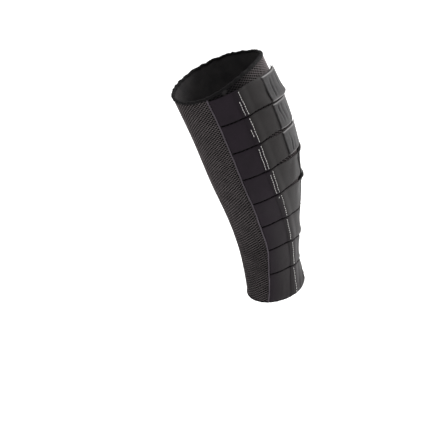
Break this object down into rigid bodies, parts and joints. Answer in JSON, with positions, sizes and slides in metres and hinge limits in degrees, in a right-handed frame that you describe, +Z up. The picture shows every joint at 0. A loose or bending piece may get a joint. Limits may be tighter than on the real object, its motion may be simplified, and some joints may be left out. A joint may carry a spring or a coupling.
{
  "type": "calf compression wrap",
  "caption": "Adjustable compression wrap for the left calf: a spacer-mesh tube with a stack of hook-ended straps up its outer side, held in its worn form.",
  "frame": {"origin": "on the leg's axis at the ankle opening, level with the hem, where the leg passes out", "axes": "+Z up along the leg, -Y the shin side, +X the outer side of the left leg"},
  "size_m": [0.1433, 0.1381, 0.353],
  "materials": {
    "mesh": "matt spacer mesh",
    "tape": "matt edge tape",
    "piping": "satin piping",
    "root_cloth": "smooth matt laminate",
    "strap_cloth": "smooth brushed laminate",
    "hook_tab": "stiff moulded hook tape"
  },
  "bodies": {
    "root": {"mesh_body": "mesh", "rim_tape": "tape", "hem_tape": "tape", "piping": "piping", "strap_root_1": "root_cloth", "strap_root_2": "root_cloth", "strap_root_3": "root_cloth", "strap_root_4": "root_cloth", "strap_root_5": "root_cloth", "strap_root_6": "root_cloth", "strap_root_7": "root_cloth", "strap_root_8": "root_cloth", "strap_1": "strap_cloth", "strap_2": "strap_cloth", "strap_3": "strap_cloth", "strap_4": "strap_cloth", "strap_5": "strap_cloth", "strap_6": "strap_cloth", "strap_7": "strap_cloth", "strap_8": "strap_cloth", "hook_tab_1": "hook_tab", "hook_tab_2": "hook_tab", "hook_tab_3": "hook_tab", "hook_tab_4": "hook_tab", "hook_tab_5": "hook_tab", "hook_tab_6": "hook_tab", "hook_tab_7": "hook_tab", "hook_tab_8": "hook_tab"}
  },
  "joints": []
}
